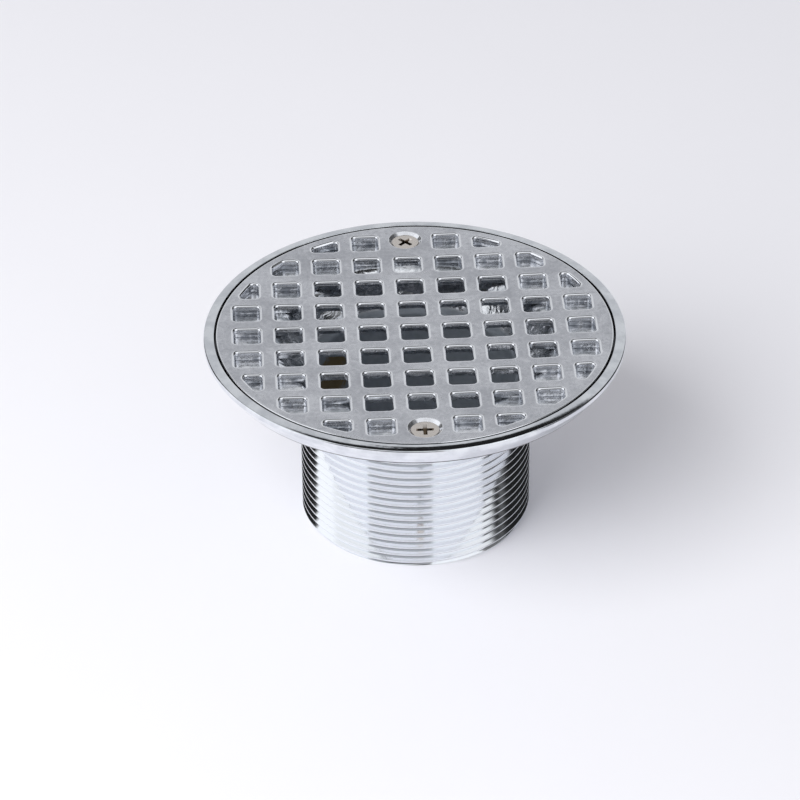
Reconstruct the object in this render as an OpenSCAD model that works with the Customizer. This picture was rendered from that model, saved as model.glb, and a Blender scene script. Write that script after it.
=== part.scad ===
// Round floor drain strainer. A chrome-plated body carries a flange, a funnel and a threaded
// barrel. A grate of square holes lies in the flange, and two countersunk screws hold it down.
// The drain's axis is +Z, and the end of the barrel stands on z = 0.

/* [Flange] */
// Height of the drain, from the end of the barrel to the top of the flange
total_h = 53.2; // [50:0.1:60]
// Diameter of the flange
flange_d = 108; // [107:0.5:112]
// Thickness of the flange, from its underside to its top
flange_h = 6; // [5.8:0.1:7]
// How far the flange's side slopes in from its rim to its underside
flange_bevel = 3.2; // [1:0.1:4]
// Width of the slope that runs round the rim on top
rim_slope_w = 1.4; // [0.8:0.1:1.8]
// Height of that slope
rim_slope_h = 0.4; // [0.2:0.1:1]

/* [Barrel] */
// Diameter over the crests of the barrel's pipe thread
thread_d = 59.7; // [59:0.1:61]
// Threads per inch
thread_tpi = 11.5; // [11:0.5:14]
// Number of thread turns
thread_turns = 16; // [8:1:16]
// Diameter of the bore that the water leaves through
bore_d = 52; // [46:0.5:53]

/* [Funnel] */
// Diameter at which the ledge under the grate starts to turn down
lip_d = 73; // [72:0.5:75]
// Radius of the rounding where the ledge turns down
lip_round = 4; // [2:0.5:5]
// Slope of the funnel below level, in degrees
funnel_slope = 48; // [45:1:50]
// Thickness of the funnel's wall
funnel_wall = 3.2; // [2.5:0.1:3.4]

/* [Grate] */
// Diameter of the grate
grate_d = 101.6; // [101:0.1:102]
// Gap all round between the grate and the flange
grate_gap = 0.5; // [0.3:0.1:0.6]
// Thickness of the grate at its edge
grate_t = 2.5; // [2.4:0.1:2.8]
// How far the middle of the grate is dished, so that water runs in
grate_dish = 0.5; // [0.2:0.1:0.8]
// Distance from the middle of one hole to the middle of the next
hole_pitch = 10.71; // [10.5:0.01:10.8]
// Width of a square hole
hole_w = 7.3; // [6:0.1:7.6]
// Radius of a hole's corners
hole_corner = 1.15; // [0.5:0.05:2]
// Radius of the circle that trims the outermost holes
hole_limit_r = 48.5; // [48.5:0.1:49]

/* [Screws] */
// Distance from the drain's axis to each screw
screw_r = 44; // [43.5:0.1:44.5]
// Diameter over the screw's thread
screw_d = 4; // [3.5:0.1:4]
// Length of a screw, head and all
screw_len = 8; // [7:0.5:9]
// Diameter of a screw's head
screw_head_d = 7; // [6.8:0.1:7.2]
// Angle of the rear screw's cross, turned from the front one's, in degrees
rear_screw_turn = 45; // [0:5:90]

/* [Hidden] */
chrome = [0.80, 0.82, 0.85];
grate_chrome = [0.70, 0.72, 0.75];
nickel = [0.74, 0.68, 0.62];
smooth = 128;
over = 1;

flange_r = flange_d / 2;
rim_side_h = rim_slope_h + 1.2;
underside_z = total_h - flange_h;
ledge_z = total_h - grate_t;
recess_r = grate_d / 2 + grate_gap;

bore_r = bore_d / 2;
bore_chamfer = 0.6;
thread_r = thread_d / 2;
thread_pitch = 25.4 / thread_tpi;
thread_flat = 0.3;
thread_flank_h = thread_pitch / 2 - thread_flat;
thread_root_r = thread_r - thread_flank_h / tan(30);
thread_chamfer = 0.7;

lip_r = lip_d / 2;
funnel_top_r = lip_r - lip_round * sin(funnel_slope);
funnel_top_z = ledge_z - lip_round * (1 - cos(funnel_slope));
funnel_end_z = funnel_top_z - (funnel_top_r - bore_r) * tan(funnel_slope);
outer_top_r = funnel_top_r + funnel_wall * sin(funnel_slope);
outer_top_z = funnel_top_z - funnel_wall * cos(funnel_slope);
cone_top_r = outer_top_r + (underside_z - outer_top_z) / tan(funnel_slope);
cone_end_z = outer_top_z - (outer_top_r - thread_root_r) * tan(funnel_slope);

dish_r = grate_d / 2 - 4;
grate_edge = 0.4;
last_hole = 4;
farthest_hole = 20;

boss_r = 4.3;
boss_h = 1.5;
tapped_r = screw_d / 2 + 0.05;
screw_clear_r = screw_d / 2 + 0.2;
sink_r = screw_head_d / 2 + 0.85;
head_sink = 0.65;
head_edge_h = 0.12;
cross_span = 4.4;
cross_w = 1;
cross_depth = 1.5;
screw_tip = 0.4;

// Points [r, z] of an arc about [cr, cz], from angle a0 to a1
function arc(cr, cz, r, a0, a1, steps) =
    [for (i = [0:steps]) let (a = a0 + (a1 - a0) * i / steps) [cr + r * cos(a), cz + r * sin(a)]];

// Height of turn i's lower edge on the barrel
function turn_z(i) = thread_chamfer + i * thread_pitch;

// Outline of one thread turn: crest, groove and the start of the next crest
function turn(i) = [
    [thread_r, turn_z(i)],
    [thread_r, turn_z(i) + thread_flat],
    [thread_root_r, turn_z(i) + thread_flat + thread_flank_h],
    [thread_root_r, turn_z(i + 1) - thread_flank_h]
];

// Half section of the body, as [r, z] points
module body_section() {
    outside = concat(
        [[bore_r + bore_chamfer, 0], [thread_r - thread_chamfer, 0]],
        [for (i = [0:thread_turns - 1]) each turn(i)],
        [[thread_root_r, cone_end_z], [cone_top_r, underside_z]],
        [[flange_r - flange_bevel, underside_z], [flange_r, total_h - rim_side_h]],
        [[flange_r, total_h - rim_slope_h], [flange_r - rim_slope_w, total_h]]
    );
    inside = concat(
        [[recess_r, total_h], [recess_r, ledge_z]],
        arc(lip_r, ledge_z - lip_round, lip_round, 90, 90 + funnel_slope, 6),
        [[bore_r, funnel_end_z], [bore_r, bore_chamfer]]
    );
    polygon(concat(outside, inside));
}

// Puts its children at both screws' places, front (-Y) and rear (+Y)
module at_screws() {
    for (side = [-1, 1]) translate([0, side * screw_r, 0]) children();
}

// Flange, ledge, funnel, threaded barrel and two tapped bosses, cast in one piece
module strainer_body() {
    color(chrome)
    difference() {
        union() {
            rotate_extrude($fn = smooth) body_section();
            at_screws()
                translate([0, 0, underside_z - boss_h]) cylinder(r = boss_r, h = boss_h + over, $fn = 48);
        }
        at_screws()
            translate([0, 0, underside_z - boss_h - over])
                cylinder(r = tapped_r, h = boss_h + flange_h + over, $fn = 48);
    }
}

// A square hole with round corners
module hole_outline() {
    straight = hole_w - 2 * hole_corner;
    square([hole_w, straight], center = true);
    square([straight, hole_w], center = true);
    for (x = [-1, 1], y = [-1, 1])
        translate([x * straight / 2, y * straight / 2]) circle(r = hole_corner, $fn = 32);
}

// All the grate's holes: a square grid, trimmed to a circle, with none where a screw goes
module hole_grid() {
    intersection() {
        circle(r = hole_limit_r, $fn = smooth);
        for (x = [-last_hole:last_hole], y = [-last_hole:last_hole])
            if (x * x + y * y <= farthest_hole && !(x == 0 && abs(y) == last_hole))
                translate([x * hole_pitch, y * hole_pitch]) hole_outline();
    }
}

// Half section of the grate, dished on top
module grate_section() {
    edge_r = grate_d / 2;
    polygon(concat(
        [[0, ledge_z], [edge_r - grate_edge, ledge_z], [edge_r, ledge_z + grate_edge]],
        [[edge_r, total_h - grate_edge], [edge_r - grate_edge, total_h]],
        [for (k = [3:-1:0]) [dish_r * k / 3, total_h - grate_dish * (1 - pow(k / 3, 2))]]
    ));
}

module grate() {
    color(grate_chrome)
    difference() {
        rotate_extrude($fn = smooth) grate_section();
        translate([0, 0, ledge_z - over]) linear_extrude(grate_t + 2 * over) hole_grid();
        at_screws() {
            translate([0, 0, ledge_z - over]) cylinder(r = screw_clear_r, h = grate_t + 2 * over, $fn = 48);
            translate([0, 0, total_h - sink_r])
                cylinder(r1 = 0, r2 = sink_r + over, h = sink_r + over, $fn = 64);
        }
    }
}

// A countersunk machine screw with a cross recess, its head's top at z = 0
module screw() {
    head_r = screw_head_d / 2;
    shank_r = screw_d / 2;
    difference() {
        rotate_extrude($fn = 64) polygon([
            [0, 0], [head_r, 0], [head_r, -head_edge_h],
            [shank_r, -head_edge_h - (head_r - shank_r)],
            [shank_r, -screw_len + screw_tip], [shank_r - screw_tip, -screw_len], [0, -screw_len]
        ]);
        for (a = [0, 90])
            rotate([0, 0, a]) translate([-cross_span / 2, -cross_w / 2, -cross_depth])
                cube([cross_span, cross_w, cross_depth + over]);
    }
}

module front_screw() {
    color(nickel) translate([0, -screw_r, total_h - head_sink]) screw();
}

module rear_screw() {
    color(nickel) translate([0, screw_r, total_h - head_sink]) rotate([0, 0, rear_screw_turn]) screw();
}

strainer_body();
grate();
front_screw();
rear_screw();
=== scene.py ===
"""Floor drain strainer: fine meshes, plated-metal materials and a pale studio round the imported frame."""

import math

import bmesh
import bpy
from mathutils import Matrix, Vector, geometry


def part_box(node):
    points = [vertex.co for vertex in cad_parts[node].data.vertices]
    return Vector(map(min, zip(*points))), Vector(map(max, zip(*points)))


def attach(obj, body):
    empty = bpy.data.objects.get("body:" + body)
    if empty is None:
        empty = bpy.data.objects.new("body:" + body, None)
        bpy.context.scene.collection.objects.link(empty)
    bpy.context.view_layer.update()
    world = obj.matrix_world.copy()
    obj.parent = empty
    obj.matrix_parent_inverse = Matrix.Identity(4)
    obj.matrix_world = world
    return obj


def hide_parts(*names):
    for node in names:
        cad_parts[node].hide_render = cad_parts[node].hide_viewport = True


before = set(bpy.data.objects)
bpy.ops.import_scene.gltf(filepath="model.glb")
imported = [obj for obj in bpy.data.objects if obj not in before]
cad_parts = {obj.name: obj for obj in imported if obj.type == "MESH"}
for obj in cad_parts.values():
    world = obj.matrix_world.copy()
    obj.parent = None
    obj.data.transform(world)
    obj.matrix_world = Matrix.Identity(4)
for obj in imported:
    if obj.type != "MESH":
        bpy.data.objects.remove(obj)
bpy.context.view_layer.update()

# ---------------------------------------------------------------- sizes, in millimetres

MM = 0.001


def box_mm(node):
    low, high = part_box(node)
    return Vector(low) / MM, Vector(high) / MM


body_low, body_high = box_mm("strainer_body")
grate_low, grate_high = box_mm("grate")
screw_low, screw_high = box_mm("front_screw")

FLANGE_R = min(body_high.x, body_high.y, -body_low.x, -body_low.y)
FLANGE_H = 6
FLANGE_BEVEL = 3.2
FLANGE_BOTTOM_R = FLANGE_R - FLANGE_BEVEL
TOP_Z = body_high.z
UNDERSIDE_Z = TOP_Z - FLANGE_H
LEDGE_Z = grate_low.z
RIM_SLOPE_W = 1.4
RIM_SLOPE_H = 0.4
RIM_SLOPE_Z = TOP_Z - RIM_SLOPE_H
RIM_SIDE_H = 1.6
RIM_SIDE_Z = TOP_Z - RIM_SIDE_H
RECESS_R = 51.3

# The barrel, with softer thread flanks than the pipe standard's, as the photo's reflections show.
# THREAD_CORNERS are the rounding radii of crest and root, and THREAD_FADE the heights where it runs out.
THREAD_R = 29.83
THREAD_ROOT_R = 28.73
THREAD_FLANK = math.radians(38)
THREAD_PITCH = 25.4 / 11.5
THREAD_CORNERS = (0.10, 0.19)
THREAD_END_R = 29.1
THREAD_FADE = (34.2, 36.6)
NECK_Z = 37.0
BORE_R = 26.0
BORE_CHAMFER = 0.6
LIP_R = 36.5
LIP_ROUND = 4.0
FUNNEL_SLOPE = math.radians(48)
FUNNEL_WALL = 3.2

# The grate: its holes are rounded to HOLE_CORNER at the wall and widen by HOLE_EDGE at the top.
# HOLE_BORDERS are rings outside that edge, as (distance, polish). The outermost holes are cut by the circle
# of HOLE_LIMIT_R, in TRIM_STEPS flats on each side.
GRATE_R = min(grate_high.x, grate_high.y, -grate_low.x, -grate_low.y)
GRATE_TOP_Z = grate_high.z
GRATE_EDGE = 0.25
DISH_R = GRATE_R - 4
DISH_DEPTH = 0.5
HOLE_PITCH = 10.71
HOLE_HALF = 3.38
HOLE_CORNER = 1.0
HOLE_LIMIT_R = 48.2
HOLE_EDGE = 0.6
HOLE_EDGE_STEPS = 5
HOLE_BORDERS = ((0.30, 0), (0.08, 0.12))
HOLE_WALL_H = 0.9
HOLE_FOOT = 0.15
HOLE_FOOT_BORDER = 0.4
TRIM_STEPS = 12
TRIM_STEP = math.radians(1.25)
LAST_HOLE = 4
FARTHEST_HOLE = 20

# The screws and their holes; CROSS_SECTIONS are (depth, reach, half width) of the cross recess
SCREW_R = 44.0
SCREW_HEAD_R = (screw_high.x - screw_low.x) / 2
SCREW_TOP_Z = screw_high.z
SCREW_TIP_Z = screw_low.z
SHANK_R = 1.98
SHANK_ROOT_R = 1.66
SCREW_PITCH = 0.7
SCREW_FLANK = math.radians(30)
SCREW_CORNERS = (0.03, 0.03)
SCREW_FADE = 0.5
SCREW_TIP_R = SHANK_ROOT_R - 0.2
SHANK_FREE = 0.25
HEAD_EDGE = 0.12
CROSS_SECTIONS = ((-0.5, 2.4, 0.56), (0.0, 2.2, 0.50), (1.0, 1.35, 0.40), (1.5, 0.8, 0.32))
CROSS_FILLET = 0.12
CROSS_DEPTH = 1.9
REAR_TURN = math.radians(45)
BOSS_R = 4.3
BOSS_H = 1.5
BOSS_BOTTOM_Z = UNDERSIDE_Z - BOSS_H
TAPPED_R = 2.08
TAPPED_GROOVE_R = 2.4
SCREW_CLEAR_R = 2.2
SINK_MARGIN = 0.85
SINK_R = SCREW_HEAD_R + SINK_MARGIN
SINK_POLISH = 0.6

# Points round each circle, the step of a rounded edge, the least angle of a true edge, and the distance of
# the support points that keep flat parts flat to the light
COLUMNS = 180
SCREW_COLUMNS = 64
TAP_COLUMNS = 48
FINE = math.radians(15)
SHARP = math.radians(35)
SUPPORT = 0.12

# How far a boss or a cutter runs past the face that it meets
OVERLAP = 1


# ---------------------------------------------------------------- mesh tools


def rounded(corners, step=FINE, support=SUPPORT):
    """Points along an outline of corners (x, y, radius), each turned into an arc of its radius.

    The first and last corner only give directions. A point a little before and after each arc keeps
    the flat parts beside it flat to the light.
    """
    points = []
    for before, corner, after in zip(corners, corners[1:], corners[2:]):
        here, radius = Vector(corner[:2]), corner[2]
        back = (Vector(before[:2]) - here).normalized()
        ahead = (Vector(after[:2]) - here).normalized()
        if radius == 0:
            points.append(here)
            continue
        half = back.angle(ahead) / 2
        reach = radius / math.tan(half)
        centre = here + (back + ahead).normalized() * radius / math.sin(half)
        start = here + back * reach - centre
        sweep = math.copysign(math.pi - 2 * half, back.y * ahead.x - back.x * ahead.y)
        count = max(2, math.ceil(abs(sweep) / step))
        if support:
            points.append(here + back * (reach + support))
        for k in range(count + 1):
            points.append(centre + Matrix.Rotation(sweep * k / count, 2) @ start)
        if support:
            points.append(here + ahead * (reach + support))
    return points


class Shape:
    """Points and faces of one closed mesh, in millimetres, with how polished each point is."""

    def __init__(self):
        self.points, self.faces, self.polish = [], [], []

    def loop(self, points, polish=0.0):
        first = len(self.points)
        self.points += [tuple(p) for p in points]
        self.polish += [polish] * (len(self.points) - first)
        return list(range(first, len(self.points)))

    def circle(self, r, z, columns=COLUMNS, centre=(0, 0), polish=0.0):
        angles = [2 * math.pi * k / columns for k in range(columns)]
        spots = [(centre[0] + r * math.cos(a), centre[1] + r * math.sin(a), z) for a in angles]
        return self.loop(spots, polish)

    def face(self, corners):
        kept = [c for k, c in enumerate(corners) if c != corners[k - 1]]
        if len(kept) > 2:
            self.faces.append(kept)

    def skin(self, loops):
        """Faces between each loop and the next, all with the same number of points."""
        for lower, upper in zip(loops, loops[1:]):
            for k in range(len(lower)):
                self.face([lower[k - 1], lower[k], upper[k], upper[k - 1]])

    def plate(self, loops):
        """Triangles of the plate inside the first loop and outside all the others, which are convex."""
        index, edges, hole_of = [], [], {}
        for number, loop in enumerate(loops):
            first = len(index)
            edges += [(first + k, first + (k + 1) % len(loop)) for k in range(len(loop))]
            index += loop
            hole_of.update(dict.fromkeys(loop, number))
        flat = [Vector(self.points[i][:2]) for i in index]
        _, _, triangles, origins, _, _ = geometry.delaunay_2d_cdt(flat, edges, [], 1, 1e-6)
        for triangle in triangles:
            corners = [index[origins[c][0]] for c in triangle]
            across = {hole_of[c] for c in corners}
            if len(across) > 1 or across == {0}:
                self.face(corners)

    def thread(self, radii, pitch, slope, corners, low_z, high_z, trim, columns, centre=(0, 0)):
        """A right-handed helical thread; returns its lowest and highest loops.

        radii are its root's and crest's, slope is its flanks' lean from level, corners are the rounding
        radii of its crest and root, and trim(z, r) gives the radius where r would be at height z.
        """
        root_r, crest_r = radii
        crest_corner, root_corner = corners
        flank = (crest_r - root_r) * math.tan(slope)
        flat = pitch / 2 - flank
        section = rounded([
            (-flat / 2, crest_r), (flat / 2, crest_r, crest_corner),
            (flat / 2 + flank, root_r, root_corner), (1.5 * flat + flank, root_r, root_corner),
            (pitch - flat / 2, crest_r, crest_corner), (pitch, crest_r)],
            step=math.radians(30), support=crest_corner / 4)
        heights, reach = [p.x for p in section], [p.y for p in section]

        def at(column, z, r):
            a = 2 * math.pi * column / columns
            r = trim(z, r)
            return (centre[0] + r * math.cos(a), centre[1] + r * math.sin(a), z)

        def radius_of(phase):
            phase %= pitch
            for k in range(1, len(section)):
                if phase <= heights[k]:
                    share = (phase - heights[k - 1]) / (heights[k] - heights[k - 1])
                    return reach[k - 1] + (reach[k] - reach[k - 1]) * max(share, 0)
            return crest_r

        shifts = [pitch * column / columns for column in range(columns)]
        ends = []
        for z in (low_z, high_z):
            ends.append(self.loop([at(c, z, radius_of(z - low_z - shifts[c])) for c in range(columns)]))
        low, high = ends
        spare = 2
        turns = math.ceil((high_z - low_z) / pitch) + 2 * spare
        rows = []
        for row in range(turns * len(section)):
            turn, part = divmod(row, len(section))
            base = low_z + pitch * (turn - spare) + heights[part]
            line = []
            for column in range(columns):
                z = base + shifts[column]
                if low_z < z < high_z:
                    line += self.loop([at(column, z, reach[part])])
                else:
                    line.append(low[column] if z <= low_z else high[column])
            rows.append(line)
        for row in range((turns - 1) * len(section) - 1):
            for c in range(columns - 1):
                self.face([rows[row][c], rows[row][c + 1], rows[row + 1][c + 1], rows[row + 1][c]])
            over = row + len(section)
            self.face([rows[row][-1], rows[over][0], rows[over + 1][0], rows[row + 1][-1]])
        return low, high

    def object(self, name):
        mesh = bpy.data.meshes.new(name)
        mesh.from_pydata([Vector(p) * MM for p in self.points], [], self.faces)
        mesh.attributes.new("polish", "FLOAT", "POINT").data.foreach_set("value", self.polish)
        work = bmesh.new()
        work.from_mesh(mesh)
        bmesh.ops.recalc_face_normals(work, faces=work.faces)
        work.to_mesh(mesh)
        work.free()
        made = bpy.data.objects.new(name, mesh)
        bpy.context.collection.objects.link(made)
        return made


def combine(piece, tool, operation):
    """Join or cut piece with tool, and delete tool."""
    modifier = piece.modifiers.new("combine", "BOOLEAN")
    modifier.operation = operation
    modifier.solver = "MANIFOLD"
    modifier.object = tool
    result = piece.evaluated_get(bpy.context.evaluated_depsgraph_get())
    mesh = bpy.data.meshes.new_from_object(result)
    piece.modifiers.clear()
    piece.data = mesh
    bpy.data.objects.remove(tool)


def finish_piece(piece, body, node, material):
    """Smooth shading with true edges kept, a material, and the piece's place in the frame."""
    work = bmesh.new()
    work.from_mesh(piece.data)
    for face in work.faces:
        face.smooth = True
    for edge in work.edges:
        edge.smooth = edge.calc_face_angle(0) < SHARP
    work.to_mesh(piece.data)
    work.free()
    piece.data.materials.clear()
    piece.data.materials.append(material)
    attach(piece, body)
    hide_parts(node)


def smoothstep(low, high, value):
    share = min(max((value - low) / (high - low), 0), 1)
    return share * share * (3 - 2 * share)


# ---------------------------------------------------------------- strainer body


def body_trim(z, r):
    """Radius of the barrel's thread: chamfered at its end, and run out under the neck."""
    faded = r + (THREAD_ROOT_R - r) * smoothstep(*THREAD_FADE, z)
    return min(faded, THREAD_END_R + z)


def threaded_rod(shape, centre, low_z, high_z, root_r, crest_r):
    """A closed rod with the screws' thread."""
    def plain(z, r):
        return r

    low, high = shape.thread(
        (root_r, crest_r), SCREW_PITCH, SCREW_FLANK, SCREW_CORNERS, low_z, high_z, plain, TAP_COLUMNS, centre)
    shape.face(low)
    shape.face(high)


def make_strainer_body():
    """The cast body: threaded barrel, flange, recess, funnel and bore, with two tapped bosses."""
    shape = Shape()
    low, high = shape.thread(
        (THREAD_ROOT_R, THREAD_R), THREAD_PITCH, THREAD_FLANK, THREAD_CORNERS, 0, NECK_Z, body_trim, COLUMNS)
    lip_corner_r = LIP_R - LIP_ROUND * math.tan(FUNNEL_SLOPE / 2)
    cone_r = lip_corner_r + FUNNEL_WALL / math.sin(FUNNEL_SLOPE)
    rise = math.tan(FUNNEL_SLOPE)
    neck_top = LEDGE_Z - (cone_r - THREAD_ROOT_R) * rise
    cone_top_r = cone_r - (LEDGE_Z - UNDERSIDE_Z) / rise
    funnel_end = LEDGE_Z - (lip_corner_r - BORE_R) * rise
    outline = rounded([
        (THREAD_ROOT_R, NECK_Z), (THREAD_ROOT_R, neck_top, 2.0), (cone_top_r, UNDERSIDE_Z, 1.2),
        (FLANGE_BOTTOM_R, UNDERSIDE_Z, 0.4), (FLANGE_R, RIM_SIDE_Z, 0.5), (FLANGE_R, RIM_SLOPE_Z, 0.45),
        (FLANGE_R - RIM_SLOPE_W, TOP_Z, 5.0), (RECESS_R, TOP_Z, 0.15), (RECESS_R, LEDGE_Z, 0.25),
        (lip_corner_r, LEDGE_Z, LIP_ROUND), (BORE_R, funnel_end, 1.5), (BORE_R, BORE_CHAMFER, 0.2),
        (BORE_R + BORE_CHAMFER, 0, 0.2), (THREAD_END_R, 0)],
        step=math.radians(9))
    rings = [shape.circle(p.x, p.y) for p in outline]
    shape.skin([high] + rings + [low])
    body = shape.object("strainer_body_cast")

    bosses, holes = Shape(), Shape()
    for side in (-1, 1):
        centre = (0, side * SCREW_R)
        boss_top = (BOSS_R, LEDGE_Z - OVERLAP)
        edge = rounded([(0, BOSS_BOTTOM_Z), (BOSS_R, BOSS_BOTTOM_Z, 0.4), boss_top])
        edge.append(Vector(boss_top))
        rings = [bosses.circle(p.x, p.y, SCREW_COLUMNS, centre) for p in edge]
        bosses.skin(rings)
        bosses.face(rings[0])
        bosses.face(rings[-1])
        threaded_rod(holes, centre, BOSS_BOTTOM_Z - OVERLAP, LEDGE_Z + OVERLAP, TAPPED_R, TAPPED_GROOVE_R)
    combine(body, bosses.object("bosses"), "UNION")
    combine(body, holes.object("tapped_holes"), "DIFFERENCE")
    return body


# ---------------------------------------------------------------- grate


def grate_top(x, y):
    """Height of the grate's dished top."""
    share = min(math.hypot(x, y) / DISH_R, 1)
    return GRATE_TOP_Z - DISH_DEPTH * (1 - share * share)


def trim_to_circle(polygon, limit, facing):
    """A convex polygon, cut by the near side of a circle about the origin."""
    for k in range(-TRIM_STEPS, TRIM_STEPS + 1):
        angle = facing + k * TRIM_STEP
        normal = Vector((math.cos(angle), math.sin(angle)))
        kept = []
        for a, b in zip(polygon[-1:] + polygon, polygon):
            out_a, out_b = a @ normal - limit, b @ normal - limit
            if (out_a > 0) != (out_b > 0):
                kept.append(a.lerp(b, out_a / (out_a - out_b)))
            if out_b <= 0:
                kept.append(b)
        polygon = [p for k, p in enumerate(kept) if (p - kept[k - 1]).length > 0.01]
    return polygon


def hole_outline(x, y):
    """Corner centres and outward directions round a hole: centre + direction * radius is on its outline."""
    half = HOLE_HALF - HOLE_CORNER
    corners = [Vector((x + half * sx, y + half * sy)) for sx, sy in ((-1, -1), (1, -1), (1, 1), (-1, 1))]
    core = trim_to_circle(corners, HOLE_LIMIT_R - HOLE_CORNER, math.atan2(y, x))
    outline = []
    for before, here, after in zip(core[-1:] + core, core, core[1:] + core[:1]):
        into, out = here - before, after - here
        start = math.atan2(-into.x, into.y)
        sweep = -into.angle_signed(out)
        count = math.ceil(sweep / FINE) if sweep > FINE else 0
        for k in range(count + 1):
            a = start + (sweep * k / count if count else sweep / 2)
            outline.append((here, Vector((math.cos(a), math.sin(a)))))
    return outline


def make_hole(shape, outline, corner):
    """Skin of one hole, with rounded edges; returns its loops on top and underneath."""
    def ring(grow, height, polish):
        spots = [here + way * (corner + grow) for here, way in outline]
        return shape.loop([(s.x, s.y, height(s)) for s in spots], polish)

    loops = []
    for beyond, polish in HOLE_BORDERS:
        loops.append(ring(HOLE_EDGE + beyond, lambda s: grate_top(s.x, s.y), polish))
    for k in range(HOLE_EDGE_STEPS + 1):
        a = math.pi / 2 * (1 - k / HOLE_EDGE_STEPS)
        drop = HOLE_EDGE * (1 - math.sin(a))
        loops.append(ring(HOLE_EDGE * (1 - math.cos(a)), lambda s: grate_top(s.x, s.y) - drop, 1))
    loops.append(ring(0, lambda s: LEDGE_Z + HOLE_WALL_H, 0))
    for a in map(math.radians, (0, 45, 90)):
        foot_z = LEDGE_Z + HOLE_FOOT * (1 - math.sin(a))
        loops.append(ring(HOLE_FOOT * (1 - math.cos(a)), lambda s: foot_z, 0))
    loops.append(ring(HOLE_FOOT_BORDER, lambda s: LEDGE_Z, 0))
    shape.skin(loops)
    return loops[0], loops[-1]


def make_screw_hole(shape, side):
    """Skin of one countersunk screw hole."""
    centre = (0, side * SCREW_R)
    cone_z = GRATE_TOP_Z - (SINK_R - SCREW_CLEAR_R)
    outline = rounded([
        (SINK_R + 2, GRATE_TOP_Z), (SINK_R, GRATE_TOP_Z, 0.2), (SCREW_CLEAR_R, cone_z, 0.1),
        (SCREW_CLEAR_R, LEDGE_Z, 0.1), (SCREW_CLEAR_R + 2, LEDGE_Z)])
    loops = [shape.circle(p.x, p.y, SCREW_COLUMNS, centre, 0.0 if k == 0 else SINK_POLISH)
             for k, p in enumerate(outline)]
    shape.skin(loops)
    return loops[0], loops[-1]


def make_grate():
    """The grate: a dished plate of trimmed square holes, and two countersunk screw holes."""
    shape = Shape()
    edge = rounded([
        (GRATE_R - 3, GRATE_TOP_Z), (GRATE_R, GRATE_TOP_Z, GRATE_EDGE), (GRATE_R, LEDGE_Z, GRATE_EDGE),
        (GRATE_R - 3, LEDGE_Z)])
    rings = [shape.circle(p.x, p.y, polish=0 if p in (edge[0], edge[-1]) else 1) for p in edge]
    shape.skin(rings)
    tops, bottoms = [rings[0]], [rings[-1]]
    cells = range(-LAST_HOLE, LAST_HOLE + 1)
    screw_cells = ((0, -LAST_HOLE), (0, LAST_HOLE))
    holes = [(x, y) for y in cells for x in cells
             if x * x + y * y <= FARTHEST_HOLE and (x, y) not in screw_cells]
    for x, y in holes:
        top, bottom = make_hole(shape, hole_outline(x * HOLE_PITCH, y * HOLE_PITCH), HOLE_CORNER)
        tops.append(top)
        bottoms.append(bottom)
    for side in (-1, 1):
        top, bottom = make_screw_hole(shape, side)
        tops.append(top)
        bottoms.append(bottom)
    shape.plate(tops)
    shape.plate(bottoms)
    return shape.object("grate_plate")


# ---------------------------------------------------------------- screws


def cross_recess(turn, centre):
    """The tapered cross that a screwdriver fits."""
    shape = Shape()
    loops = []
    for depth, span, width in CROSS_SECTIONS:
        inner = width + CROSS_FILLET
        quarter = [(span, -width), (span, width), (inner, width), (width, inner)]
        spots = []
        for k in range(4):
            turned = Matrix.Rotation(turn + k * math.pi / 2, 2)
            spots += [turned @ Vector(q) for q in quarter]
        loops.append(shape.loop([(centre[0] + s.x, centre[1] + s.y, SCREW_TOP_Z - depth) for s in spots]))
    shape.skin(loops)
    shape.face(loops[0])
    tip = shape.loop([(centre[0], centre[1], SCREW_TOP_Z - CROSS_DEPTH)])[0]
    for a, b in zip(loops[-1], loops[-1][1:] + loops[-1][:1]):
        shape.face([a, b, tip])
    return shape.object("cross_recess")


def make_screw(name, side, turn):
    """A countersunk screw on one side of the drain, its cross turned by an angle."""
    centre = (0, side * SCREW_R)
    neck_z = SCREW_TOP_Z - HEAD_EDGE - (SCREW_HEAD_R - SHANK_R)
    thread_top = neck_z - SHANK_FREE

    def trim(z, r):
        faded = r + (SHANK_R - r) * smoothstep(thread_top - SCREW_FADE, thread_top, z)
        return min(faded, SCREW_TIP_R + (z - SCREW_TIP_Z))

    shape = Shape()
    low, high = shape.thread(
        (SHANK_ROOT_R, SHANK_R), SCREW_PITCH, SCREW_FLANK, SCREW_CORNERS, SCREW_TIP_Z, thread_top, trim,
        SCREW_COLUMNS, centre)
    outline = rounded([
        (SHANK_R, thread_top), (SHANK_R, neck_z, 0.15), (SCREW_HEAD_R, SCREW_TOP_Z - HEAD_EDGE, 0.05),
        (SCREW_HEAD_R, SCREW_TOP_Z, 0.06), (0, SCREW_TOP_Z)], support=0.01)
    rings = [shape.circle(p.x, p.y, SCREW_COLUMNS, centre) for p in outline]
    shape.skin([high] + rings)
    shape.face(low)
    shape.face(rings[-1])
    screw = shape.object(name)
    combine(screw, cross_recess(turn, centre), "DIFFERENCE")
    return screw


# ---------------------------------------------------------------- materials

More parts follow.
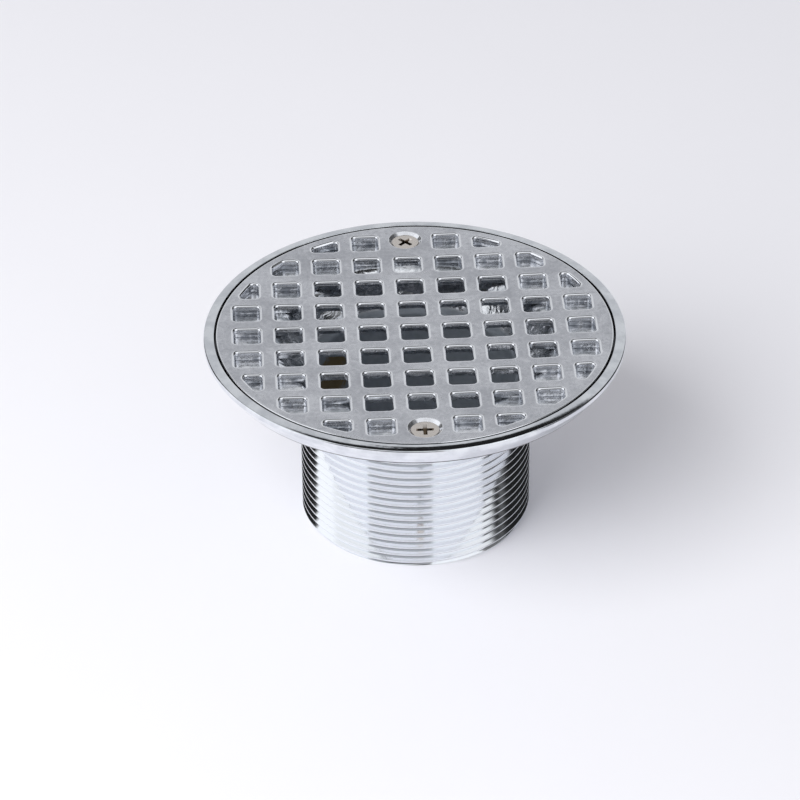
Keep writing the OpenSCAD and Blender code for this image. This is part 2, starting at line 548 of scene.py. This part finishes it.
# Where one finish gives way to the next, each as the start and end of a soft edge, in millimetres.
# INSIDE_CONE is measured up from a cone through the origin with the funnel's slope.
BORE_EDGE = (BORE_R + 1.2, BORE_R + 2.2)
RECESS_EDGE = (RECESS_R - 0.2, RECESS_R + 0.1)
LIP_EDGE = (LIP_R - 1.0, LIP_R + 1.5)
INSIDE_CONE = (9.0, 10.4)
INSIDE_FLANGE = (LEDGE_Z - 1.9, LEDGE_Z - 1.5)
ABOVE_LEDGE = (LEDGE_Z + 0.2, LEDGE_Z + 0.5)
WORN_EDGE = (UNDERSIDE_Z + 0.3, UNDERSIDE_Z + 1.0)
WAVE_EDGE = (UNDERSIDE_Z - 1.0, UNDERSIDE_Z + 0.8)
HOLE_WALL_TOP = (LEDGE_Z + HOLE_WALL_H, LEDGE_Z + HOLE_WALL_H + 0.6)
# CROSS_REACH, CROSS_SHADE and CROSS_FLOOR bound the painted shade in the screws' cross recess
CROSS_REACH = (2.2, 2.4)
CROSS_SHADE = (SCREW_TOP_Z - 0.9, SCREW_TOP_Z - 0.15)
CROSS_FLOOR = (SCREW_TOP_Z - 2.1, SCREW_TOP_Z - 2.0)

# Painted shade in the gap between grate and flange, on the body and on the grate: past a radius and below a
# height
BODY_GAP_R = (RECESS_R - 0.8, RECESS_R - 0.5)
BODY_GAP_TOP = (TOP_Z - 0.6, TOP_Z - 0.2)
GRATE_GAP_R = (RECESS_R - 1.0, RECESS_R - 0.7)
GRATE_GAP_TOP = (TOP_Z - 0.9, TOP_Z - 0.4)

# Middle and size of the brown patch in the bore
RUST_PLACE = (-21.5, 15.0, 29.0)
RUST_SIZE = 8.0

BRIGHT_PLATING = (0.85, 0.87, 0.90, 1)
WORN_PLATING = (0.68, 0.70, 0.74, 1)
FUNNEL_SHADES = ((0.42, 0.44, 0.47, 1), (0.90, 0.91, 0.93, 1))
LEDGE_SHADES = ((0.50, 0.52, 0.55, 1), (0.90, 0.91, 0.94, 1))
CASTING_SHADES = ((0.30, 0.34, 0.39, 1), (0.46, 0.50, 0.55, 1))
RUST = (0.26, 0.19, 0.09, 1)
# painted shade for the gap between grate and flange
GAP_SHADE_COLOUR = (0.05, 0.05, 0.055, 1)
SATIN_SHADES = ((0.41, 0.421, 0.455, 1), (0.60, 0.61, 0.645, 1))
PIT = (0.30, 0.29, 0.29, 1)
POLISHED = (0.93, 0.94, 0.97, 1)
HOLE_WALL_SHADES = ((0.46, 0.48, 0.52, 1), (0.90, 0.91, 0.94, 1))
NICKEL_SHADES = ((0.66, 0.60, 0.55, 1), (0.82, 0.77, 0.72, 1))
# painted shade inside the screws' cross recess
CROSS_SHADE_COLOUR = (0.10, 0.075, 0.05, 1)


class Nodes:
    """Small helper that adds and links shader nodes, in a new material or in the tree given."""

    def __init__(self, name=None, tree=None):
        coordinates = "Object" if tree is None else "Generated"
        if tree is None:
            self.material = bpy.data.materials.new(name)
            self.material.use_nodes = True
            tree = self.material.node_tree
            self.shader = tree.nodes["Principled BSDF"]
        self.tree = tree
        self.place = self.add("ShaderNodeTexCoord").outputs[coordinates]

    def add(self, kind, **settings):
        node = self.tree.nodes.new(kind)
        for key, value in settings.items():
            setattr(node, key, value)
        return node

    def put(self, socket, value):
        if isinstance(value, bpy.types.NodeSocket):
            self.tree.links.new(value, socket)
        else:
            socket.default_value = value

    def maths(self, operation, a, b=0.0):
        node = self.add("ShaderNodeMath", operation=operation)
        self.put(node.inputs[0], a)
        self.put(node.inputs[1], b)
        return node.outputs[0]

    def product(self, first, *others):
        for other in others:
            first = self.maths("MULTIPLY", first, other)
        return first

    def noise(self, size_mm, detail=3.0, roughness=0.5, stretch=None, twist=0.0):
        """Noise with features about size_mm across, from 0 to 1, drawn out into swirls by twist."""
        node = self.add("ShaderNodeTexNoise")
        where = self.place
        if stretch:
            scale = self.add("ShaderNodeVectorMath", operation="MULTIPLY")
            self.put(scale.inputs[0], where)
            scale.inputs[1].default_value = stretch
            where = scale.outputs[0]
        self.put(node.inputs["Vector"], where)
        node.inputs["Scale"].default_value = 1 / (size_mm * MM)
        node.inputs["Detail"].default_value = detail
        node.inputs["Roughness"].default_value = roughness
        node.inputs["Distortion"].default_value = twist
        return node.outputs["Fac"]

    def spread(self, value, low, high, to_low, to_high):
        """Map value from low..high to to_low..to_high, smoothly and clamped."""
        node = self.add("ShaderNodeMapRange", interpolation_type="SMOOTHSTEP")
        for socket, number in zip(node.inputs, (value, low, high, to_low, to_high)):
            self.put(socket, number)
        return node.outputs[0]

    def past(self, value, edge_mm):
        """0 before a soft edge and 1 past it."""
        return self.spread(value, edge_mm[0] * MM, edge_mm[1] * MM, 0.0, 1.0)

    def before(self, value, edge_mm):
        """1 before a soft edge and 0 past it."""
        return self.spread(value, edge_mm[0] * MM, edge_mm[1] * MM, 1.0, 0.0)

    def mix(self, share, a, b):
        """Mix of two colours."""
        node = self.add("ShaderNodeMix", data_type="RGBA")
        self.put(node.inputs[0], share)
        self.put(node.inputs[6], a)
        self.put(node.inputs[7], b)
        return node.outputs[2]

    def blend(self, share, a, b):
        """Mix of two numbers."""
        node = self.add("ShaderNodeMix", data_type="FLOAT")
        for socket, value in zip(node.inputs[:1] + node.inputs[2:4], (share, a, b)):
            self.put(socket, value)
        return node.outputs[0]

    def bump(self, height, distance_mm, strength=1.0, after=None):
        node = self.add("ShaderNodeBump")
        node.inputs["Strength"].default_value = strength
        node.inputs["Distance"].default_value = distance_mm * MM
        self.put(node.inputs["Height"], height)
        if after:
            self.put(node.inputs["Normal"], after)
        return node.outputs[0]

    def axis(self, name):
        node = self.add("ShaderNodeSeparateXYZ")
        self.put(node.inputs[0], self.place)
        return node.outputs[name]

    def radius(self):
        flat = self.add("ShaderNodeVectorMath", operation="MULTIPLY")
        self.put(flat.inputs[0], self.place)
        flat.inputs[1].default_value = (1, 1, 0)
        length = self.add("ShaderNodeVectorMath", operation="LENGTH")
        self.put(length.inputs[0], flat.outputs[0])
        return length.outputs["Value"]

    def ball(self, centre_mm, size_mm):
        """Distance from a place, as a share of size_mm."""
        shift = self.add("ShaderNodeVectorMath", operation="DISTANCE")
        self.put(shift.inputs[0], self.place)
        shift.inputs[1].default_value = Vector(centre_mm) * MM
        return self.maths("DIVIDE", shift.outputs["Value"], size_mm * MM)


def chrome_material():
    """Bright plating outside; duller, mottled plating inside the flange, casting skin in the bore, and
    painted shade in the gap round the grate.
    """
    n = Nodes("chrome_over_casting")
    r, z = n.radius(), n.axis("Z")
    cloud, grain, mottle = n.noise(9, 3), n.noise(0.35, 2), n.noise(2.5, 4)
    bore = n.before(r, BORE_EDGE)
    within = n.before(r, RECESS_EDGE)
    above_cone = n.maths("SUBTRACT", z, n.product(r, math.tan(FUNNEL_SLOPE)))
    inner = n.maths("MAXIMUM", n.past(above_cone, INSIDE_CONE), n.past(z, INSIDE_FLANGE))
    recess = n.product(within, inner, n.before(z, ABOVE_LEDGE))
    ledge = n.product(recess, n.past(r, LIP_EDGE))
    funnel = n.product(recess, n.before(r, LIP_EDGE))
    worn = n.product(n.spread(n.noise(6, 5, 0.6), 0.35, 0.65, 1.0, 0.0), n.past(z, WORN_EDGE))
    bright = n.mix(worn, BRIGHT_PLATING, WORN_PLATING)
    swirl = n.spread(n.noise(8, 4, 0.5, twist=1.4), 0.38, 0.62, 0.0, 1.0)
    dim = n.mix(swirl, *FUNNEL_SHADES)
    dim = n.mix(ledge, dim, n.mix(swirl, *LEDGE_SHADES))
    skin = n.mix(mottle, *CASTING_SHADES)
    rust_edge = n.maths("ADD", n.ball(RUST_PLACE, RUST_SIZE), n.noise(2.0, 4))
    rust = n.product(n.spread(rust_edge, 1.25, 1.6, 1.0, 0.0), bore)
    colour = n.mix(bore, n.mix(recess, bright, dim), skin)
    colour = n.mix(rust, colour, RUST)
    # painted shade: the recess wall and the ledge next to the grate's edge are coloured dark
    gap = n.product(within, n.past(r, BODY_GAP_R), n.before(z, BODY_GAP_TOP))
    colour = n.mix(gap, colour, GAP_SHADE_COLOUR)
    rough = n.spread(cloud, 0.3, 0.7, 0.07, 0.13)
    rough = n.blend(ledge, rough, n.spread(mottle, 0.3, 0.7, 0.15, 0.26))
    rough = n.blend(funnel, rough, n.spread(swirl, 0.0, 1.0, 0.26, 0.14))
    rough = n.blend(bore, rough, n.spread(grain, 0.3, 0.7, 0.42, 0.58))
    n.put(n.shader.inputs["Base Color"], colour)
    n.put(n.shader.inputs["Metallic"], n.spread(bore, 0.0, 1.0, 1.0, 0.35))
    n.put(n.shader.inputs["Roughness"], rough)
    wave_start, wave_end = (edge * MM for edge in WAVE_EDGE)
    wave = n.bump(n.product(n.noise(3.2, 2), n.spread(z, wave_start, wave_end, 0.15, 1.0)), 0.05, 0.5)
    cast = n.bump(n.product(funnel, n.noise(3.6, 2, 0.5, twist=1.0)), 0.4, 0.7, wave)
    cast = n.bump(n.product(n.maths("ADD", ledge, bore), n.noise(1.6, 3)), 0.12, 0.7, cast)
    n.put(n.shader.inputs["Normal"], n.bump(grain, 0.003, 0.6, cast))
    return n.material


def satin_material():
    """Satin plating on the grate's flats, polished at its edges and dull down its walls, with painted shade
    on its side in the gap.
    """
    n = Nodes("satin_chrome")
    polish = n.add("ShaderNodeAttribute", attribute_name="polish").outputs["Fac"]
    z = n.axis("Z")
    cloud, patch, grain, speck = n.noise(16, 3), n.noise(3.5, 4), n.noise(0.5, 3), n.noise(0.12, 2)
    wall = n.before(z, HOLE_WALL_TOP)
    shade = n.maths("ADD", n.product(cloud, 0.35), n.product(patch, 0.2))
    shade = n.maths("ADD", shade, n.product(n.noise(0.9, 4, 0.7), 0.45))
    colour = n.mix(n.spread(shade, 0.36, 0.64, 0.0, 1.0), *SATIN_SHADES)
    pits = n.spread(n.noise(0.8, 2), 0.68, 0.76, 0.0, 0.6)
    colour = n.mix(pits, colour, PIT)
    colour = n.mix(polish, colour, POLISHED)
    smear = n.spread(n.noise(3.0, 4, 0.6, twist=1.0), 0.38, 0.62, 0.0, 1.0)
    colour = n.mix(wall, colour, n.mix(smear, *HOLE_WALL_SHADES))
    # painted shade: the grate's side below its top edge is coloured dark, as if in the gap
    gap = n.product(n.past(n.radius(), GRATE_GAP_R), n.before(z, GRATE_GAP_TOP))
    colour = n.mix(gap, colour, GAP_SHADE_COLOUR)
    rough = n.blend(polish, n.spread(shade, 0.38, 0.62, 0.34, 0.24), 0.05)
    n.put(n.shader.inputs["Base Color"], colour)
    n.put(n.shader.inputs["Metallic"], n.blend(n.maths("MAXIMUM", polish, wall), 0.72, 1.0))
    n.put(n.shader.inputs["Roughness"], n.blend(wall, rough, n.spread(smear, 0.0, 1.0, 0.34, 0.22)))
    uneven = n.bump(n.product(wall, n.noise(1.4, 3)), 0.2, 0.7)
    n.put(n.shader.inputs["Normal"], n.bump(grain, 0.010, 0.5, n.bump(speck, 0.002, 0.5, uneven)))
    return n.material


def nickel_material():
    """Warm nickel, with fine turning marks, small scratches and painted shade down in the cross recess."""
    n = Nodes("warm_nickel")
    cloud, scratch = n.noise(1.5, 4), n.noise(0.25, 3, stretch=(1.0, 0.08, 1.0))
    away = n.maths("SUBTRACT", n.maths("ABSOLUTE", n.axis("Y")), SCREW_R * MM)
    squares = n.maths("ADD", n.maths("POWER", away, 2.0), n.maths("POWER", n.axis("X"), 2.0))
    off_axis = n.maths("SQRT", squares)
    z = n.axis("Z")
    # painted shade: the cross recess is coloured dark below its rim
    cross = n.product(n.before(z, CROSS_SHADE), n.past(z, CROSS_FLOOR), n.before(off_axis, CROSS_REACH))
    colour = n.mix(cloud, *NICKEL_SHADES)
    n.put(n.shader.inputs["Base Color"], n.mix(cross, colour, CROSS_SHADE_COLOUR))
    n.shader.inputs["Metallic"].default_value = 1
    n.put(n.shader.inputs["Roughness"], n.spread(cloud, 0.3, 0.7, 0.16, 0.30))
    n.put(n.shader.inputs["Normal"], n.bump(scratch, 0.006, 0.5))
    return n.material


# ---------------------------------------------------------------- pieces

chrome, satin, nickel = chrome_material(), satin_material(), nickel_material()
finish_piece(make_strainer_body(), "strainer_body", "strainer_body", chrome)
finish_piece(make_grate(), "grate", "grate", satin)
front_screw = make_screw("front_screw_turned", -1, 0.0)
finish_piece(front_screw, "front_screw", "front_screw", nickel)
rear_screw = make_screw("rear_screw_turned", 1, REAR_TURN)
finish_piece(rear_screw, "rear_screw", "rear_screw", nickel)

# ---------------------------------------------------------------- studio

# Metres; the floor lies a hair below the barrel's end, so that the two faces don't share a plane
FLOOR_HALF = 6.0
FLOOR_Z = -0.00002
FLOOR_SHADES = ((0.86, 0.86, 0.90, 1), (0.88, 0.88, 0.92, 1))

# What the metal reflects, in degrees with azimuth 0 at the camera and growing to the right:
# (brightness, azimuth from, to, elevation from, to, blur of the edges)
PANELS = (
    (1.12, -121, -50, -5, 42, 1.5),   # big softbox at the left
    (0.95, -131, -50, 42, 69, 1.5),   # the same, higher up
    (1.05, 12, 64, -5, 46, 1.5),      # softbox at the right
    (0.16, 64, 92, -5, 46, 1.5),      # dim strip beyond it
    (0.95, 12, 92, 46, 78, 2.0),      # softbox above the two
    (0.95, 85, 105, 55, 78, 1.5),     # its far end
    (0.52, -50, 12, -5, 14, 2.0),     # low light from the camera's side
    (0.05, -50, 12, 14, 28, 2.0),     # dark round the camera
    (0.12, -50, 12, 28, 48, 3.0),     # dark above the camera
    (0.85, -50, 12, 48, 76, 3.0),     # light over the camera
    (0.20, 98, 122, 40, 66, 3.0),     # dim light at the far right
    (0.66, -190, -146, -5, 56, 2.5),  # backdrop, left half
    (0.66, 140, 190, -5, 46, 2.5),    # backdrop, right half
)
CEILING = (0.62, -10, 190, 74, 100, 1.0)
DARK_ROOM = 0.015

# What lights the matt surfaces, and what the camera sees past the floor
FILL = 0.5
HORIZON = (0.81, 0.81, 0.89, 1)


def make_floor():
    """A pale floor, wide enough to meet the horizon in every view."""
    work = bmesh.new()
    sides = ((-1, -1), (1, -1), (1, 1), (-1, 1))
    corners = [work.verts.new((x * FLOOR_HALF, y * FLOOR_HALF, 0)) for x, y in sides]
    work.faces.new(corners)
    mesh = bpy.data.meshes.new("floor")
    work.to_mesh(mesh)
    work.free()
    floor = bpy.data.objects.new("floor", mesh)
    floor.location.z = FLOOR_Z
    bpy.context.collection.objects.link(floor)
    n = Nodes("pale_floor")
    n.put(n.shader.inputs["Base Color"], n.mix(n.noise(120, 2), *FLOOR_SHADES))
    n.shader.inputs["Roughness"].default_value = 0.7
    floor.data.materials.append(n.material)


def make_softbox(name, azimuth, elevation, distance, width, height, power):
    """A soft light aimed at the drain, in metres and degrees. The metal reflects the panels in its place."""
    a, e = math.radians(azimuth), math.radians(elevation)
    away = Vector((math.sin(a) * math.cos(e), -math.cos(a) * math.cos(e), math.sin(e)))
    light = bpy.data.lights.new(name, "AREA")
    light.shape = "RECTANGLE"
    light.size, light.size_y = width, height
    light.energy = power
    lamp = bpy.data.objects.new(name, light)
    lamp.location = away * distance + Vector((0, 0, TOP_Z * MM))
    lamp.rotation_euler = away.to_track_quat("Z", "Y").to_euler()
    lamp.visible_camera = False
    lamp.visible_glossy = False
    bpy.context.collection.objects.link(lamp)


def make_world():
    """The studio round the drain: soft panels and a ceiling for the metal, and an even fill for the rest."""
    world = bpy.data.worlds.new("studio")
    world.use_nodes = True
    n = Nodes(tree=world.node_tree)
    x, y, z = (n.axis(name) for name in "XYZ")
    azimuth = n.maths("MULTIPLY", n.maths("ARCTAN2", x, n.maths("MULTIPLY", y, -1.0)), 180 / math.pi)
    elevation = n.maths("MULTIPLY", n.maths("ARCSINE", z), 180 / math.pi)
    around = n.maths("ABSOLUTE", azimuth)

    def panel(side, light, low, high, bottom, top, blur):
        """Light between two azimuths and two elevations, with soft edges."""
        return n.product(
            n.spread(side, low - blur, low + blur, 0.0, 1.0),
            n.spread(side, high - blur, high + blur, 1.0, 0.0),
            n.spread(elevation, bottom - blur, bottom + blur, 0.0, 1.0),
            n.spread(elevation, top - blur, top + blur, 1.0, 0.0),
            light)

    total = DARK_ROOM
    for numbers in PANELS:
        total = n.maths("ADD", panel(azimuth, *numbers), total)
    total = n.maths("ADD", panel(around, *CEILING), total)
    path = n.add("ShaderNodeLightPath")

    def background(colour, strength):
        node = n.add("ShaderNodeBackground")
        node.inputs[0].default_value = colour
        n.put(node.inputs[1], strength)
        return node.outputs[0]

    def choose(ray, otherwise, light):
        node = n.add("ShaderNodeMixShader")
        n.put(node.inputs[0], path.outputs[ray])
        n.put(node.inputs[1], otherwise)
        n.put(node.inputs[2], light)
        return node.outputs[0]

    reflected = background((0.95, 0.97, 1.0, 1), total)
    diffuse = background((0.97, 0.965, 0.99, 1), FILL)
    room = choose("Is Diffuse Ray", reflected, diffuse)
    seen = choose("Is Camera Ray", room, background(HORIZON, 1))
    n.put(n.tree.nodes["World Output"].inputs[0], seen)
    bpy.context.scene.world = world


make_floor()
make_softbox("key_light", azimuth=-50, elevation=40, distance=1.2, width=1.1, height=1.0, power=16)
make_world()
bpy.context.scene.view_settings.view_transform = "Standard"

# ---------------------------------------------------------------- camera

# The photo's view, with lengths in millimetres
VIEW_AZIMUTH = math.radians(2.85)
VIEW_ELEVATION = math.radians(34.1)
VIEW_ROLL = math.radians(-0.52)
VIEW_DISTANCE = 929
VIEW_TARGET = Vector((-4.4, -9.5, 38.2))
SENSOR_WIDTH = 36
LENS = 163.6
CLIP_START = 0.01


def make_camera():
    """A camera at the photo's angle."""
    data = bpy.data.cameras.new("camera")
    data.sensor_width = SENSOR_WIDTH
    data.lens = LENS
    data.clip_start = CLIP_START
    camera = bpy.data.objects.new("camera", data)
    turn = (Matrix.Rotation(-VIEW_AZIMUTH, 4, "Z") @ Matrix.Rotation(math.pi / 2 - VIEW_ELEVATION, 4, "X")
            @ Matrix.Rotation(VIEW_ROLL, 4, "Z"))
    backwards = turn.to_3x3() @ Vector((0, 0, 1))
    camera.matrix_world = Matrix.Translation((VIEW_TARGET + backwards * VIEW_DISTANCE) * MM) @ turn
    bpy.context.collection.objects.link(camera)
    bpy.context.scene.camera = camera


make_camera()
